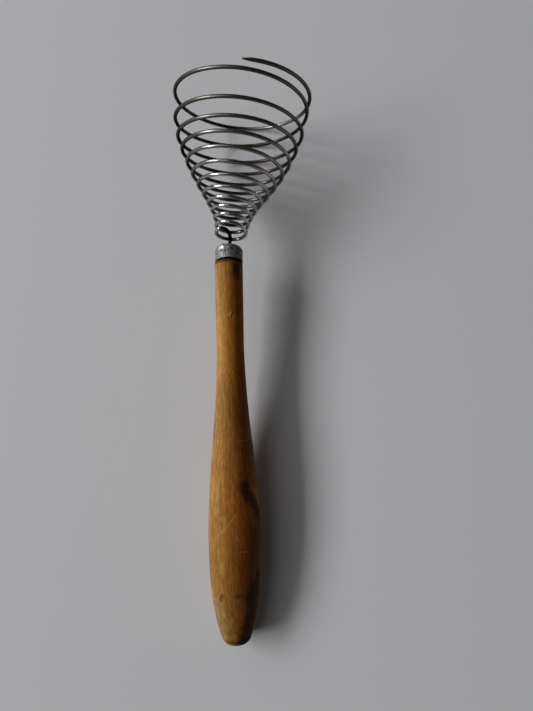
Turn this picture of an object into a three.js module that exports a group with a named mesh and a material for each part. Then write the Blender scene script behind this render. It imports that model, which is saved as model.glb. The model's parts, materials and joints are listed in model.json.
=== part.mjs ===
// Spiral whisk: a turned wooden handle, a drawn tin ferrule, and one length of tinned wire that is
// wound into a bell, crooked inwards at the neck and driven into the handle by its straight tang.
// Millimetres, +Z up. The whisk lies on the belly of its handle and the rim of its coil, with the
// coil towards +Y, and the origin is under the middle of its box.

import * as THREE from 'three';

// Handle: lengths run along its axis, from the shoulder that meets the ferrule towards the butt
const WAIST_LENGTH = 34.8;
const SWELL_LENGTH = 75;
const BUTT_LENGTH = 38.6;
const SHOULDER_RADIUS = 5.75;
const SHOULDER_ROUND = 0.7;
const WAIST_RADIUS = 5.55;
const BELLY_RADIUS = 10.08;
const BUTT_RADIUS = 4.5;
const BUTT_ROUND = 1.5;
const BUTT_FULLNESS = 2.2;

// Ferrule: a drawn cap over the tenon at the top of the handle, with a hole for the wire in its crown
const FERRULE_HEIGHT = 6;
const FERRULE_WALL = 0.45;
const FERRULE_STEP = 0.1;
const TENON_ROUND = 0.9;

// Wire and the coil that is wound from it, with turns counted from the free end at the rim
const WIRE_DIAMETER = 1.5;
const TURNS = 12.75;
const FREE_END_ANGLE = 82;
const RIM_RADIUS = 28.4;
const NECK_RADIUS = 6.1;
const BELL_FLARE = 0.92;
const RIM_PITCH = 11.8;
const BELL_PITCH = 6.1;
const NECK_PITCH = 3.2;
const LEVEL_TURNS = 0.71;
const LEVEL_EASE = 0.19;
const RIM_PITCH_FADES = [1, 2.8];
const BELL_PITCH_FADES = [1.5, 9.5];

// How the coil stands, in degrees: it leans to one side and up, and its turns tip up or sideways
const COIL_LEAN_SIDE = 6.15;
const COIL_LEAN_UP = 1.9;
const RIM_TIP_UP = -2.5;
const BELL_TIP_UP = 1.7;
const NECK_TIP_UP = 9;
const RIM_TIP_SIDE = 2;
const BELL_TIP_SIDE = 0;
const NECK_TIP_SIDE = -1.9;
const RIM_TIP_FADES = [2, 5.5];
const BELL_TIP_FADES = [8.5, 12.25];

// Below the neck: the crook, the bare stem that it leads to, and the tang hidden in the handle
const CROOK_HEIGHT = 5.4;
const CROOK_SWING = 10;
const CROOK_DROP = 8.6;
const CROOK_SIDE = 3.5;
const STEM_LENGTH = 0.2;
const TANG_LENGTH = 36;

// Room between pieces that touch, and how finely round forms are cut
const CLEARANCE = 0.3;
const ROUND_SEGMENTS = 40;
const BUTT_STEPS = 10;
const SWELL_STEPS = 12;
const EDGE_STEPS = 4;
const TURN_STEPS = 32;
const WIRE_SIDES = 8;
const CROOK_STEPS = 14;
const HALVINGS = 50;

const { degToRad, lerp, smoothstep } = THREE.MathUtils;

const wireRadius = WIRE_DIAMETER / 2;
const holeRadius = wireRadius + CLEARANCE;
const bellyAt = WAIST_LENGTH + SWELL_LENGTH;
const handleLength = bellyAt + BUTT_LENGTH;
const ferruleRadius = SHOULDER_RADIUS - FERRULE_STEP;
const tenonRadius = ferruleRadius - FERRULE_WALL - CLEARANCE;
const crownTop = CLEARANCE + FERRULE_HEIGHT;
const tenonTop = crownTop - FERRULE_WALL - CLEARANCE;
const stemTop = crownTop + STEM_LENGTH;
const neckHeight = stemTop + CROOK_HEIGHT;

const wood = new THREE.MeshStandardMaterial({ color: 0xa9743f, roughness: 0.62, metalness: 0 });
const tin = new THREE.MeshStandardMaterial({ color: 0x8e8c86, roughness: 0.5, metalness: 0.9 });
const tinnedWire = new THREE.MeshStandardMaterial({ color: 0xa3a29e, roughness: 0.28, metalness: 1 });

// A solid of revolution about the handle's axis, turned so that a flat of it faces down.
function turned(name, profile, material) {
  const geometry = new THREE.LatheGeometry(profile, ROUND_SEGMENTS, Math.PI / ROUND_SEGMENTS);
  const mesh = new THREE.Mesh(geometry, material);
  mesh.name = name;
  return mesh;
}

// Points of a quarter circle about (x, y), from its side to its top.
function quarterArc(x, y, radius) {
  const points = [];
  for (let i = 0; i <= EDGE_STEPS; i += 1) {
    const angle = (i / EDGE_STEPS) * (Math.PI / 2);
    points.push(new THREE.Vector2(x + radius * Math.cos(angle), y + radius * Math.sin(angle)));
  }
  return points;
}

// Radius of the handle at a distance from its shoulder: a slight waist, a long swell to the belly,
// and a full curve towards the butt.
function handleRadius(distance) {
  const swell = (from, to, share) => lerp(from, to, (1 - Math.cos(Math.PI * share)) / 2);
  if (distance < WAIST_LENGTH) return swell(SHOULDER_RADIUS, WAIST_RADIUS, distance / WAIST_LENGTH);
  if (distance < bellyAt) return swell(WAIST_RADIUS, BELLY_RADIUS, (distance - WAIST_LENGTH) / SWELL_LENGTH);
  const endShare = BUTT_RADIUS / BELLY_RADIUS;
  const endReach = (1 - endShare ** BUTT_FULLNESS) ** (1 / BUTT_FULLNESS);
  const reach = ((distance - bellyAt) / BUTT_LENGTH) * endReach;
  return BELLY_RADIUS * (1 - reach ** BUTT_FULLNESS) ** (1 / BUTT_FULLNESS);
}

// The corners of the tenon, of the ferrule's inside and of its outside share one centre.
function crownCorner(room) {
  return quarterArc(tenonRadius - TENON_ROUND, tenonTop - TENON_ROUND, TENON_ROUND + room);
}

function woodenHandle() {
  const point = (radius, distance) => new THREE.Vector2(radius, -distance);
  const edgeAt = handleLength - BUTT_ROUND;
  const buttEdge = new THREE.QuadraticBezierCurve(
    point(BUTT_RADIUS - BUTT_ROUND, handleLength),
    point(BUTT_RADIUS, handleLength),
    point(handleRadius(edgeAt), edgeAt),
  );
  const profile = [point(0, handleLength), ...buttEdge.getPoints(EDGE_STEPS)];
  for (let i = 1; i <= BUTT_STEPS; i += 1) {
    const distance = lerp(bellyAt, edgeAt, Math.sin((1 - i / BUTT_STEPS) * (Math.PI / 2)));
    profile.push(point(handleRadius(distance), distance));
  }
  for (let i = 1; i <= SWELL_STEPS; i += 1) {
    const distance = lerp(bellyAt, WAIST_LENGTH, i / SWELL_STEPS);
    profile.push(point(handleRadius(distance), distance));
  }
  profile.push(point(handleRadius(WAIST_LENGTH / 2), WAIST_LENGTH / 2));
  const round = Math.min(SHOULDER_ROUND, FERRULE_STEP + FERRULE_WALL);
  profile.push(...quarterArc(SHOULDER_RADIUS - round, -round, round));
  profile.push(new THREE.Vector2(tenonRadius, 0));
  profile.push(...crownCorner(0));
  const boreEnd = TANG_LENGTH + CLEARANCE;
  profile.push(new THREE.Vector2(holeRadius, tenonTop), point(holeRadius, boreEnd), point(0, boreEnd));
  return turned('wooden_handle', profile, wood);
}

function ferrule() {
  const inside = crownCorner(CLEARANCE).reverse();
  const outside = crownCorner(CLEARANCE + FERRULE_WALL);
  const profile = [
    new THREE.Vector2(ferruleRadius, CLEARANCE),
    ...outside,
    new THREE.Vector2(holeRadius, crownTop),
    new THREE.Vector2(holeRadius, crownTop - FERRULE_WALL),
    ...inside,
    new THREE.Vector2(ferruleRadius - FERRULE_WALL, CLEARANCE),
    new THREE.Vector2(ferruleRadius, CLEARANCE),
  ];
  return turned('ferrule', profile, tin);
}

// The bell: wide and slow at the rim, steepest half way down, and slow again into the neck.
function turnRadius(turn) {
  return lerp(NECK_RADIUS, RIM_RADIUS, (1 + Math.cos(Math.PI * (turn / TURNS) ** BELL_FLARE)) / 2);
}

// A value that fades along the turns from the rim's to the bell's, and from the bell's to the neck's.
function graded(turn, rim, bell, neck, rimFades, bellFades) {
  return lerp(rim, lerp(bell, neck, smoothstep(turn, ...bellFades)), smoothstep(turn, ...rimFades));
}

// Rise for each turn: close in the neck, wider in the bell, widest next to the level end turn.
function turnPitch(turn) {
  const pitch = graded(turn, RIM_PITCH, BELL_PITCH, NECK_PITCH, RIM_PITCH_FADES, BELL_PITCH_FADES);
  return pitch * smoothstep(turn, LEVEL_TURNS - LEVEL_EASE, LEVEL_TURNS + LEVEL_EASE);
}

// How far the tipping of its turn lifts a point of the wire along the coil.
function tipLift(turn, across, upward) {
  const up = graded(turn, RIM_TIP_UP, BELL_TIP_UP, NECK_TIP_UP, RIM_TIP_FADES, BELL_TIP_FADES);
  const side = graded(turn, RIM_TIP_SIDE, BELL_TIP_SIDE, NECK_TIP_SIDE, RIM_TIP_FADES, BELL_TIP_FADES);
  return across * Math.tan(degToRad(side)) + upward * Math.tan(degToRad(up));
}

// Centre line of the turns, from the free end to the bottom of the neck, in the coil's own axes.
function coilTurns() {
  const steps = Math.round(TURNS * TURN_STEPS);
  const points = [];
  let height = neckHeight;
  for (let i = steps; i >= 0; i -= 1) {
    const turn = (i / steps) * TURNS;
    const angle = degToRad(FREE_END_ANGLE) - 2 * Math.PI * turn;
    const across = turnRadius(turn) * Math.cos(angle);
    const upward = turnRadius(turn) * Math.sin(angle);
    points.unshift(new THREE.Vector3(across, height + tipLift(turn, across, upward), upward));
    height += (turnPitch(turn - TURNS / steps / 2) * TURNS) / steps;
  }
  return points;
}

// The whole wire: a straight free end, the leaning turns, the crook, and the stem with its tang.
function wirePath() {
  const lean = new THREE.Matrix4()
    .makeRotationZ(-degToRad(COIL_LEAN_SIDE))
    .multiply(new THREE.Matrix4().makeRotationX(degToRad(COIL_LEAN_UP)));
  const turns = coilTurns().map((point) => point.applyMatrix4(lean));
  const freeEnd = turns[0].clone().sub(turns[1]).setLength(WIRE_DIAMETER).add(turns[0]);
  const neckEnd = turns[turns.length - 1];
  const heading = neckEnd.clone().sub(turns[turns.length - 2]).setLength(CROOK_SWING);
  const crook = new THREE.CubicBezierCurve3(
    neckEnd,
    neckEnd.clone().add(heading),
    new THREE.Vector3(CROOK_SIDE, stemTop + CROOK_DROP, 0),
    new THREE.Vector3(0, stemTop, 0),
  );
  const tangEnd = new THREE.Vector3(0, -TANG_LENGTH, 0);
  return [freeEnd, ...turns, ...crook.getPoints(CROOK_STEPS).slice(1), tangEnd];
}

// Least gap between stretches of the wire that are further apart along it than they are wide.
function leastGap(path) {
  const along = [0];
  for (let i = 1; i < path.length; i += 1) along.push(along[i - 1] + path[i].distanceTo(path[i - 1]));
  const apart = Math.PI * WIRE_DIAMETER;
  let least = Infinity;
  for (let i = 0; i < path.length; i += 1) {
    for (let j = i + 1; j < path.length; j += 1) {
      if (along[j] - along[i] > apart) least = Math.min(least, path[i].distanceTo(path[j]));
    }
  }
  return least - WIRE_DIAMETER;
}

// A round wire along a path: one ring of points for each step, carried on without twist, and two ends.
function wireGeometry(path) {
  const rings = path.length;
  const tangents = path.map((_, i) => {
    const before = path[Math.max(i - 1, 0)];
    const after = path[Math.min(i + 1, rings - 1)];
    return after.clone().sub(before).normalize();
  });
  const side = new THREE.Vector3(0, 0, 1).cross(tangents[0]).normalize();
  const positions = [];
  for (let i = 0; i < rings; i += 1) {
    side.addScaledVector(tangents[i], -side.dot(tangents[i])).normalize();
    const other = tangents[i].clone().cross(side);
    for (let k = 0; k < WIRE_SIDES; k += 1) {
      const angle = (2 * Math.PI * k) / WIRE_SIDES;
      const point = path[i].clone();
      point.addScaledVector(side, wireRadius * Math.cos(angle));
      point.addScaledVector(other, wireRadius * Math.sin(angle));
      positions.push(...point.toArray());
    }
  }
  const faces = [];
  for (let i = 0; i + 1 < rings; i += 1) {
    for (let k = 0; k < WIRE_SIDES; k += 1) {
      const a = i * WIRE_SIDES + k;
      const b = i * WIRE_SIDES + ((k + 1) % WIRE_SIDES);
      faces.push(a, b, a + WIRE_SIDES, b, b + WIRE_SIDES, a + WIRE_SIDES);
    }
  }
  const last = (rings - 1) * WIRE_SIDES;
  for (let k = 1; k + 1 < WIRE_SIDES; k += 1) {
    faces.push(0, k + 1, k);
    faces.push(last, last + k, last + k + 1);
  }
  const geometry = new THREE.BufferGeometry();
  geometry.setAttribute('position', new THREE.Float32BufferAttribute(positions, 3));
  geometry.setIndex(faces);
  geometry.computeVertexNormals();
  return geometry;
}

function wireCoil() {
  const path = wirePath();
  console.log(`wire_coil: least gap to itself ${leastGap(path).toFixed(2)} mm`);
  const mesh = new THREE.Mesh(wireGeometry(path), tinnedWire);
  mesh.name = 'wire_coil';
  return mesh;
}

// Lowest point of a mesh when the whisk is pitched up about its shoulder.
function lowestPoint(mesh, pitch) {
  const position = mesh.geometry.getAttribute('position');
  let lowest = Infinity;
  for (let i = 0; i < position.count; i += 1) {
    lowest = Math.min(lowest, position.getY(i) * Math.sin(pitch) + position.getZ(i) * Math.cos(pitch));
  }
  return lowest;
}

// The pitch at which the handle and the coil touch the table together, found by halving a range.
function restingPitch(handle, coil) {
  let low = -Math.PI / 4;
  let high = Math.PI / 4;
  for (let i = 0; i < HALVINGS; i += 1) {
    const middle = (low + high) / 2;
    if (lowestPoint(coil, middle) < lowestPoint(handle, middle)) low = middle;
    else high = middle;
  }
  return (low + high) / 2;
}

const handle = woodenHandle();
const coil = wireCoil();
const lying = new THREE.Group();
lying.add(handle, ferrule(), coil);
lying.rotation.x = restingPitch(handle, coil);

const box = new THREE.Box3().setFromObject(lying, true);
const middle = box.getCenter(new THREE.Vector3());
lying.position.set(-middle.x, -middle.y, -box.min.z);

const whisk = new THREE.Group();
whisk.name = 'spiral_whisk';
whisk.add(lying);

export default whisk;
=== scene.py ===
"""Spiral whisk: a turned wooden handle, a tin ferrule, and a bell-shaped coil of tinned wire.

Pieces are modelled in millimetres in the handle's own axes (x to the right, y from the shoulder
towards the coil, z up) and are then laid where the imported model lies, in metres.
"""

import json
import math
from functools import reduce
from itertools import accumulate

import bmesh
import bpy
from mathutils import Matrix, Vector, noise
from mathutils.geometry import interpolate_bezier


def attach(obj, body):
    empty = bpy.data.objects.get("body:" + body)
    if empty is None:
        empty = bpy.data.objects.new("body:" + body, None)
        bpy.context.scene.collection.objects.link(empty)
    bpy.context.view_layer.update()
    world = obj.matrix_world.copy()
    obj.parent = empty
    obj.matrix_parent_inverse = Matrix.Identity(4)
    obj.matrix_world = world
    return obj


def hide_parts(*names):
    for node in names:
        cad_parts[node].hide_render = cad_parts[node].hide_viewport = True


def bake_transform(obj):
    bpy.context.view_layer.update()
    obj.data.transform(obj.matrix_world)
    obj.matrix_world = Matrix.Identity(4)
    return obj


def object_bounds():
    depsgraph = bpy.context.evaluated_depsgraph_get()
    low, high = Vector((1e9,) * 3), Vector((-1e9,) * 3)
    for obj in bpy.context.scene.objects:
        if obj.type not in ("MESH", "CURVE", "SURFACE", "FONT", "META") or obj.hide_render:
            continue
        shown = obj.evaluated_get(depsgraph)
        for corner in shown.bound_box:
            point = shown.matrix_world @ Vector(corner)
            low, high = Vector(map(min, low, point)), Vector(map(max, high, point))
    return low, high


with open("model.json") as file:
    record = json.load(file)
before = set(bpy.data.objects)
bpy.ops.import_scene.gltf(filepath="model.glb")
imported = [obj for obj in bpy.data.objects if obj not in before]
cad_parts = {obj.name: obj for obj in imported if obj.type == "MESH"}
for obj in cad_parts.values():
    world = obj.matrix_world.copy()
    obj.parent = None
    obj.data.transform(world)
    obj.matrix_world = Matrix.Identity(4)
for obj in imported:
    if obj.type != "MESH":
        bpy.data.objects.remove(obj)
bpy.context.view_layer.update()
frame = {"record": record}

MM = 0.001

# Handle: distances run from the shoulder under the ferrule towards the butt
WAIST_LENGTH = 34.8
SWELL_LENGTH = 75.0
BUTT_LENGTH = 38.6
SHOULDER_RADIUS = 5.75
SHOULDER_ROUND = 0.6
WAIST_RADIUS = 5.55
BELLY_RADIUS = 10.08
BUTT_RADIUS = 4.5
BUTT_ROUND = 1.5
BUTT_FULLNESS = 2.2
BUTT_EDGE_POINTS = 10
HANDLE_SIDES = 144
HANDLE_STEP = 0.4

# Wear of the handle: how high each unevenness is in mm, the scale of its noise, and how far it reaches
BROAD_WAVE = 0.07
BROAD_WAVE_SCALE = 0.06
FIBRE_WAVE = 0.025
FIBRE_WAVE_SCALE = 0.9
FIBRE_WAVE_STRETCH = 0.05
BUTT_WAVE = 0.16
BUTT_WAVE_SCALE = 0.3
BUTT_WAVE_LENGTH = 22.0
SHOULDER_LIFT = 0.05
SHOULDER_LIFT_LENGTH = 4.0
UNWORN_RADIUS = 2.0

# Ferrule: a domed cap over the handle's tenon, with a hole for the wire in its crown
FERRULE_HEIGHT = 6.0
FERRULE_WALL = 0.45
FERRULE_STEP = 0.1
TENON_ROUND = 0.9
TENON_FOOT = 0.1
DOME = 0.45
FERRULE_SHIFT = 0.22
CROWN_TILT = 0.12
HEM_TILT = 0.18
CLEARANCE = 0.3
FERRULE_SIDES = 180
FERRULE_RISE = 0.12

# Wire: turns are counted from the free end; threes are for the rim, the bell and the neck
WIRE_DIAMETER = 1.5
TIP_THICKNESS = 0.35
TIP_TAPER = 5.0
FREE_END = 1.9
TURNS = 12.75
FREE_END_ANGLE = 82.0
RIM_RADIUS = 28.4
NECK_RADIUS = 6.1
BELL_FLARE = 0.92
PITCHES = (11.8, 6.1, 3.2)
PITCH_FADES = ((1.0, 2.8), (1.5, 9.5))
LEVEL_TURNS = 0.71
LEVEL_EASE = 0.19
LEAN_SIDE = 6.15
LEAN_UP = 1.9
TIPS_UP = (-2.5, 1.7, 9.0)
TIPS_SIDE = (2.0, 0.0, -1.9)
TIP_FADES = ((2.0, 5.5), (8.5, 12.25))
CROOK_HEIGHT = 5.4
CROOK_SWING = 10.0
CROOK_DROP = 8.6
CROOK_SIDE = 3.5
STEM_LENGTH = 0.2
TANG_LENGTH = 36.0
TURN_STEPS = 120
CROOK_STEPS = 60
WIRE_SIDES = 18

belly_at = WAIST_LENGTH + SWELL_LENGTH
handle_length = belly_at + BUTT_LENGTH
ferrule_radius = SHOULDER_RADIUS - FERRULE_STEP
tenon_radius = ferrule_radius - FERRULE_WALL - CLEARANCE
hole_radius = WIRE_DIAMETER / 2 + CLEARANCE
corner_round = TENON_ROUND + CLEARANCE + FERRULE_WALL
crown_top = CLEARANCE + FERRULE_HEIGHT
tenon_top = crown_top - FERRULE_WALL - CLEARANCE
stem_top = crown_top + STEM_LENGTH
neck_height = stem_top + CROOK_HEIGHT

# Where the handle lies, as its butt face tells, and how the coil leans from it
butt_face = frame["record"]["mounts"][0]
handle_axis = -Vector(butt_face["axis"]).normalized()
shoulder = Vector(butt_face["pos_m"]) + handle_axis * handle_length * MM
across = Vector((1.0, 0.0, 0.0))
turning = Matrix((across, handle_axis, across.cross(handle_axis))).transposed()
lying = Matrix.Translation(shoulder) @ turning.to_4x4() @ Matrix.Scale(MM, 4)
lean_side = Matrix.Rotation(-math.radians(LEAN_SIDE), 3, "Z")
lean_up = Matrix.Rotation(math.radians(LEAN_UP), 3, "X")
lean = lean_side @ lean_up
coil_axis = turning @ lean @ Vector((0.0, 1.0, 0.0))


def lerp(start, end, share):
    return start + (end - start) * share


def smoothstep(value, low, high):
    share = min(max((value - low) / (high - low), 0.0), 1.0)
    return share * share * (3.0 - 2.0 * share)


# Building meshes


def finish_piece(name, bm, finish):
    """Lays a shape from the handle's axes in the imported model's frame, as a piece with its finish."""
    bmesh.ops.transform(bm, matrix=lying, verts=bm.verts)
    mesh = bpy.data.meshes.new(name)
    bm.to_mesh(mesh)
    bm.free()
    mesh.materials.append(finish)
    piece = bpy.data.objects.new(name, mesh)
    bpy.context.scene.collection.objects.link(piece)
    return piece


def put_in_order(elements, key):
    """Sorts points or faces, because spinning leaves them in an order that varies from run to run."""
    for number, element in enumerate(sorted(elements, key=key)):
        element.index = number
    elements.sort()
    elements.index_update()


def turned(profile, sides, closed):
    """A profile of (radius, height) points, turned about the handle's axis."""
    bm = bmesh.new()
    points = [bm.verts.new((radius, height, 0.0)) for radius, height in profile]
    edges = [bm.edges.new(pair) for pair in zip(points, points[1:])]
    if closed:
        edges.append(bm.edges.new((points[-1], points[0])))
    bmesh.ops.spin(
        bm,
        geom=points + edges,
        cent=(0.0, 0.0, 0.0),
        axis=(0.0, 1.0, 0.0),
        angle=2.0 * math.pi,
        steps=sides,
        use_merge=True,
    )
    bmesh.ops.remove_doubles(bm, verts=bm.verts, dist=1e-4)
    bmesh.ops.recalc_face_normals(bm, faces=bm.faces)
    put_in_order(bm.verts, lambda vert: tuple(vert.co))
    put_in_order(bm.faces, lambda face: sorted(vert.index for vert in face.verts))
    for face in bm.faces:
        face.smooth = True
    return bm


def run(start, end, step):
    """Evenly spaced values from start to end, both included, about a step apart."""
    count = max(1, round(abs(end - start) / step))
    return [lerp(start, end, i / count) for i in range(count + 1)]


def corner(radius, height, size, steps):
    """A quarter circle about (radius, height), from its side to its top."""
    angles = [0.5 * math.pi * i / steps for i in range(steps + 1)]
    return [(radius + size * math.cos(a), height + size * math.sin(a)) for a in angles]


def around_of(place):
    """The angle of a point around the handle in degrees: 0 on top, 90 on the right."""
    return math.degrees(math.atan2(place.x, place.z))


def push_out(vert, amount):
    """Moves a point away from the handle's axis, in millimetres."""
    radius = math.hypot(vert.co.x, vert.co.z)
    vert.co.x *= 1.0 + amount / radius
    vert.co.z *= 1.0 + amount / radius


# Wooden handle


def handle_radius(distance):
    """A slight waist, a long swell to the belly, and a full curve towards the butt."""
    if distance < WAIST_LENGTH:
        share = distance / WAIST_LENGTH
        return lerp(SHOULDER_RADIUS, WAIST_RADIUS, (1.0 - math.cos(math.pi * share)) / 2.0)
    if distance < belly_at:
        share = (distance - WAIST_LENGTH) / SWELL_LENGTH
        return lerp(WAIST_RADIUS, BELLY_RADIUS, (1.0 - math.cos(math.pi * share)) / 2.0)
    end_share = BUTT_RADIUS / BELLY_RADIUS
    end_reach = (1.0 - end_share**BUTT_FULLNESS) ** (1.0 / BUTT_FULLNESS)
    reach = (distance - belly_at) / BUTT_LENGTH * end_reach
    return BELLY_RADIUS * (1.0 - reach**BUTT_FULLNESS) ** (1.0 / BUTT_FULLNESS)


# Marks worn into the wood: distance from the shoulder, angle around, half length, half width, depth
PRICKS = (
    (129.4, -52.0, 0.5, 0.4, 0.14),
    (129.0, -29.0, 0.7, 0.8, 0.14),
    (130.3, -33.0, 0.7, 0.8, 0.12),
    (128.9, 12.0, 0.6, 1.7, 0.16),
    (22.3, 16.0, 0.6, 0.35, 0.18),
    (23.1, 11.5, 0.6, 0.40, 0.20),
)
DENTS = (
    (64.0, -30.0, 2.4, 0.7, 0.05),
    (97.0, 24.0, 1.6, 0.9, 0.07),
    (114.0, -62.0, 1.8, 1.2, 0.09),
    (138.0, 40.0, 1.6, 1.2, 0.12),
)
SPLINTER = (
    (22.0, 10.5, 0.5, 0.35, -0.16),
    (22.8, 6.5, 0.5, 0.35, -0.14),
)


def dent_depth(place, dent):
    """How deep a dent is at a point: a smooth hollow, or a lump where its depth is negative."""
    distance, around, half_length, half_width, depth = dent
    off = (around_of(place) - around + 180.0) % 360.0 - 180.0
    sideways = math.radians(off) * math.hypot(place.x, place.z) / half_width
    lengthways = (-place.y - distance) / half_length
    return depth * math.exp(-(sideways**2 + lengthways**2))


def wear_handle(bm):
    """Out-of-round turning, a worn butt and the dents of use."""
    marks = (*PRICKS, *DENTS, *SPLINTER)
    for vert in bm.verts:
        place = vert.co.copy()
        if math.hypot(place.x, place.z) < UNWORN_RADIUS or place.y > TENON_FOOT:
            continue
        drawn = Vector((place.x, place.y * FIBRE_WAVE_STRETCH, place.z))
        worn = smoothstep(-place.y, handle_length - BUTT_WAVE_LENGTH, handle_length)
        uneven = BROAD_WAVE * noise.noise(place * BROAD_WAVE_SCALE)
        uneven += FIBRE_WAVE * noise.noise(drawn * FIBRE_WAVE_SCALE)
        uneven += BUTT_WAVE * worn * noise.noise(place * BUTT_WAVE_SCALE)
        push_out(vert, uneven - sum(dent_depth(place, mark) for mark in marks))
        lifted = smoothstep(place.y, -SHOULDER_LIFT_LENGTH, 0.0)
        vert.co.y += SHOULDER_LIFT * max(place.z, 0.0) * lifted


def turn_handle(finish):
    """The handle with its rounded butt, its shoulder, and the tenon and bore that the ferrule hides."""
    edge_at = handle_length - BUTT_ROUND
    butt_edge = interpolate_bezier(
        Vector((BUTT_RADIUS - BUTT_ROUND, -handle_length)),
        Vector((BUTT_RADIUS - BUTT_ROUND / 3.0, -handle_length)),
        Vector((BUTT_RADIUS, -handle_length + BUTT_ROUND / 3.0)),
        Vector((handle_radius(edge_at), -edge_at)),
        BUTT_EDGE_POINTS,
    )
    profile = [(radius, -handle_length) for radius in run(0.0, BUTT_RADIUS - BUTT_ROUND, step=0.5)]
    profile += [(point.x, point.y) for point in butt_edge[1:]]
    profile += [(handle_radius(d), -d) for d in run(edge_at, SHOULDER_ROUND, HANDLE_STEP)[1:]]
    profile += corner(SHOULDER_RADIUS - SHOULDER_ROUND, -SHOULDER_ROUND, SHOULDER_ROUND, steps=8)[1:]
    profile += [(tenon_radius, TENON_FOOT)]
    profile += corner(tenon_radius - TENON_ROUND, tenon_top - TENON_ROUND, TENON_ROUND, steps=5)
    profile += [(hole_radius, tenon_top)]
    bore_end = -TANG_LENGTH - CLEARANCE
    profile += [(hole_radius, bore_end), (0.0, bore_end)]
    bm = turned(profile, HANDLE_SIDES, closed=False)
    wear_handle(bm)
    return finish_piece("turned_handle", bm, finish)


# Tin ferrule

# Pits in the tin: height above the shoulder, angle around, size, depth (negative for a raised lump)
PITS = (
    (5.6, -24.0, 0.90, -0.26),
    (3.2, -27.0, 0.32, -0.10),
    (6.2, -12.0, 0.45, 0.16),
    (5.7, -51.0, 0.40, 0.14),
    (4.2, -45.0, 0.35, 0.12),
    (3.0, -49.0, 0.35, 0.12),
    (3.8, -24.0, 0.50, 0.20),
    (4.8, -8.0, 0.45, 0.14),
    (3.3, -10.0, 0.40, 0.12),
    (2.1, -37.0, 0.35, 0.12),
    (4.6, 20.0, 0.80, 0.16),
    (3.0, 42.0, 0.60, 0.14),
    (1.9, 66.0, 0.60, 0.15),
    (3.9, 120.0, 0.70, 0.18),
    (2.4, 165.0, 0.55, 0.14),
    (4.4, -110.0, 0.60, 0.16),
    (2.8, -150.0, 0.50, 0.14),
)
HEM_RISE = -0.16
HEM_WAVE = 0.12
HEM_WAVE_SCALE = 0.5
HEM_WAVE_LEVEL = 3.0
HEM_REACH = 2.2
LUMP = 0.09
LUMP_SCALE = 0.55
SMALL_LUMP = 0.05
SMALL_LUMP_SCALE = 1.9
HOLE_EDGE = 1.0


def dent_ferrule(bm):
    """Lumps and pits on the outside, and a lower edge that was cut by hand."""
    outside = ferrule_radius - FERRULE_WALL / 2.0
    for vert in bm.verts:
        place = vert.co.copy()
        radius = math.hypot(place.x, place.z)
        near_hem = 1.0 - smoothstep(place.y, CLEARANCE, CLEARANCE + HEM_REACH)
        around_hem = Vector((place.x, HEM_WAVE_LEVEL, place.z))
        wave = HEM_RISE + HEM_WAVE * noise.noise(around_hem * HEM_WAVE_SCALE)
        vert.co.y += near_hem * wave
        if radius > outside or place.y > crown_top - FERRULE_WALL / 2.0:
            lump = LUMP * noise.noise(place * LUMP_SCALE)
            lump += SMALL_LUMP * noise.noise(place * SMALL_LUMP_SCALE)
            for height, around, size, depth in PITS:
                lump -= dent_depth(place, (-height, around, size, size, depth))
            if radius > outside:
                push_out(vert, lump)
            else:
                vert.co.y += lump * smoothstep(radius, hole_radius, hole_radius + HOLE_EDGE)


def seat_ferrule(bm):
    """The crown's dome, and the cap sitting a little to the right and pushed up on its top side."""
    dome_foot = crown_top - 2.0 * corner_round
    for vert in bm.verts:
        place = vert.co.copy()
        share = min(math.hypot(place.x, place.z) / ferrule_radius, 1.0)
        crown = smoothstep(place.y, dome_foot, crown_top - FERRULE_WALL)
        tilt = lerp(HEM_TILT, CROWN_TILT, smoothstep(place.y, 0.0, crown_top)) * max(place.z, 0.0)
        vert.co.y += DOME * crown * (1.0 - share**2) + tilt
        vert.co.x += FERRULE_SHIFT


def press_ferrule(finish):
    """The cap: outer wall, rounded crown with its hole, and inner wall."""
    inside_radius = ferrule_radius - FERRULE_WALL
    inside_top = crown_top - FERRULE_WALL
    inner_round = corner_round - FERRULE_WALL
    shoulder_height = crown_top - corner_round
    profile = [(ferrule_radius, y) for y in run(CLEARANCE, shoulder_height, FERRULE_RISE)]
    profile += corner(ferrule_radius - corner_round, shoulder_height, corner_round, steps=10)[1:]
    profile += [(r, crown_top) for r in run(ferrule_radius - corner_round, hole_radius, step=0.2)[1:]]
    profile += [(r, inside_top) for r in run(hole_radius, inside_radius - inner_round, step=0.6)]
    inner_corner = corner(inside_radius - inner_round, inside_top - inner_round, inner_round, steps=5)
    profile += inner_corner[::-1][1:]
    profile += [(inside_radius, y) for y in run(inside_top - inner_round, CLEARANCE, step=0.6)[1:]]
    bm = turned(profile, FERRULE_SIDES, closed=True)
    dent_ferrule(bm)
    seat_ferrule(bm)
    return finish_piece("tin_ferrule", bm, finish)


# Wire coil


def graded(turn, values, fades):
    """Fades from the rim's value to the bell's, and from the bell's to the neck's."""
    rim, bell, neck = values
    rim_fades, bell_fades = fades
    return lerp(rim, lerp(bell, neck, smoothstep(turn, *bell_fades)), smoothstep(turn, *rim_fades))


def turn_radius(turn):
    swell = (1.0 + math.cos(math.pi * (turn / TURNS) ** BELL_FLARE)) / 2.0
    return lerp(NECK_RADIUS, RIM_RADIUS, swell)


def turn_pitch(turn):
    level = smoothstep(turn, LEVEL_TURNS - LEVEL_EASE, LEVEL_TURNS + LEVEL_EASE)
    return graded(turn, PITCHES, PITCH_FADES) * level


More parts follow.
